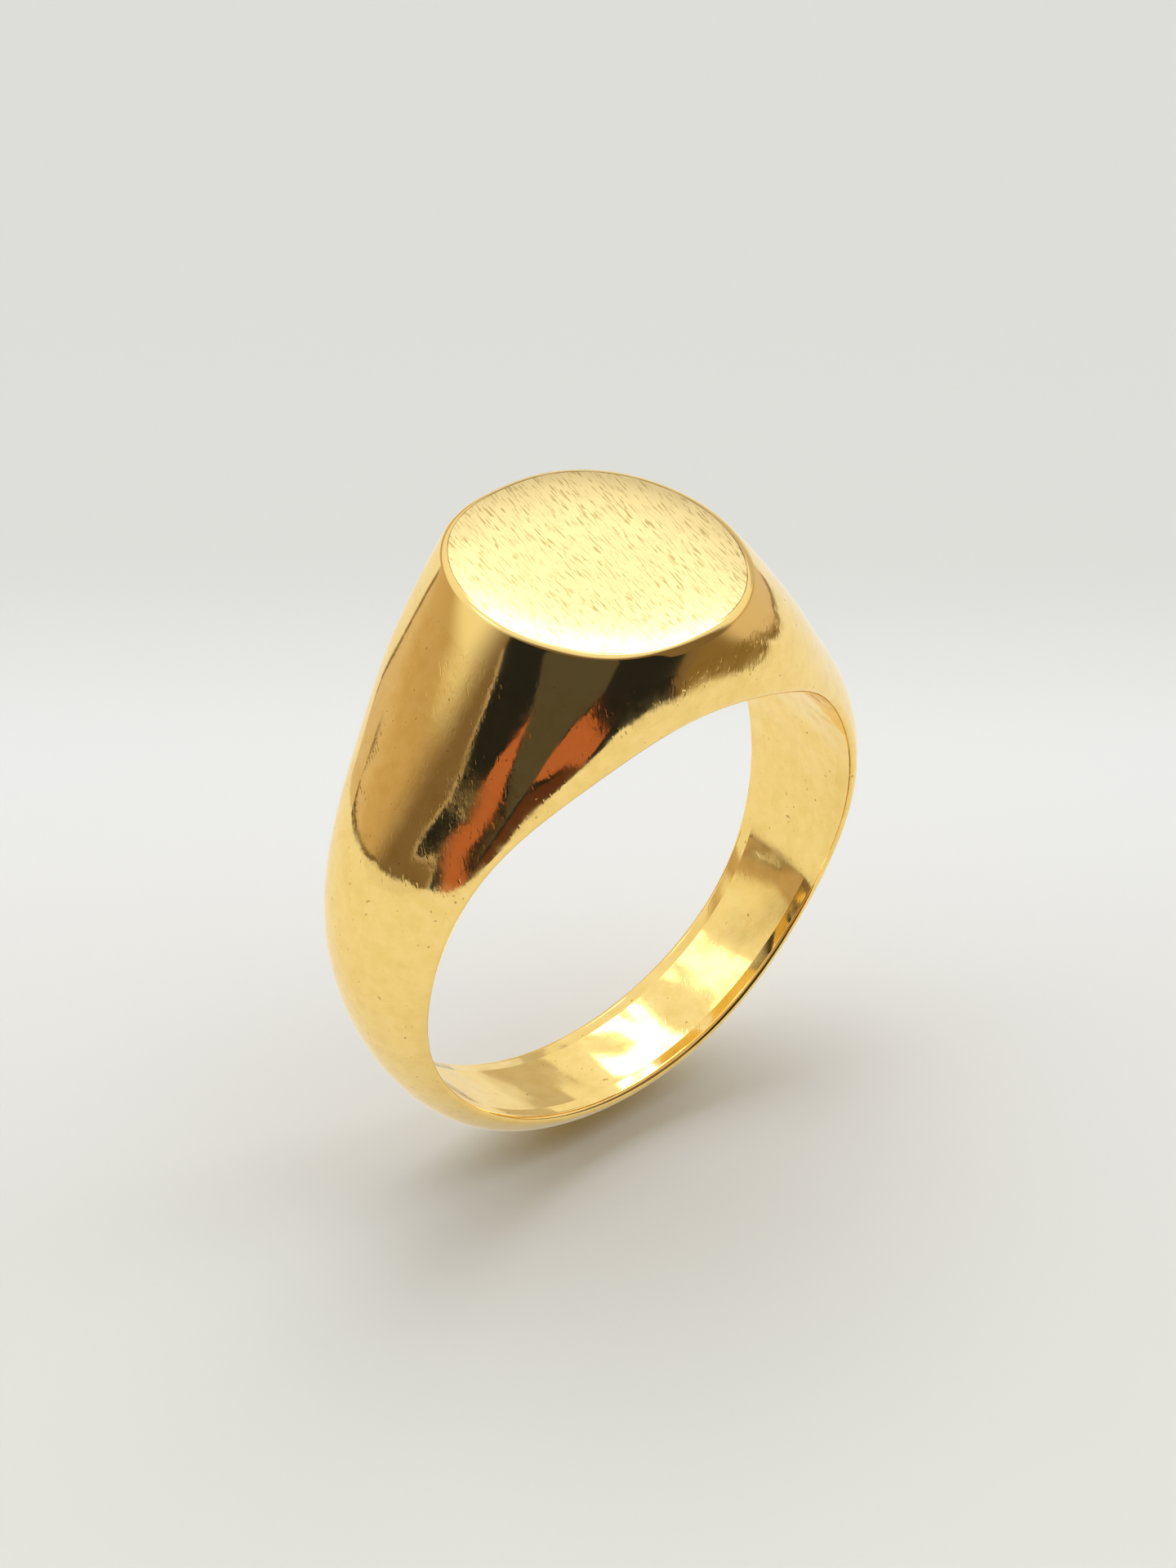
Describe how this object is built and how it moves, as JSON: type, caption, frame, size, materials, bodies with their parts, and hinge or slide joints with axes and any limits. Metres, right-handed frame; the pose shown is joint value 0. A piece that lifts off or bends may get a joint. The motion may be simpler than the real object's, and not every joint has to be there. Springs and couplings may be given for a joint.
{
  "type": "signet ring",
  "caption": "Polished gold signet ring with a flat satin oval table, flowing shoulders and a tapered D-section band.",
  "frame": {"origin": "lowest point of the band, where the ring stands, under the middle of the finger hole", "axes": "+X across the hand, +Y along the finger through the hole, +Z from the base of the band to the seal table"},
  "size_m": [0.0216, 0.011, 0.0237],
  "materials": {
    "satin_gold": "fine straight-brushed satin, yellow gold",
    "polished_gold": "mirror polished yellow gold with light wear scratches",
    "gold_solder": "gold solder, filed flush and polished"
  },
  "bodies": {
    "root": {"table_plate": "satin_gold", "table_solder_joint": "gold_solder", "head_wall": "polished_gold", "back_plate_solder_joint": "gold_solder", "back_plate": "polished_gold", "left_shoulder_solder_joint": "gold_solder", "left_shoulder": "polished_gold", "left_band_solder_joint": "gold_solder", "left_half_band": "polished_gold", "right_shoulder_solder_joint": "gold_solder", "right_shoulder": "polished_gold", "right_band_solder_joint": "gold_solder", "right_half_band": "polished_gold", "sizing_solder_joint": "gold_solder"}
  },
  "joints": []
}
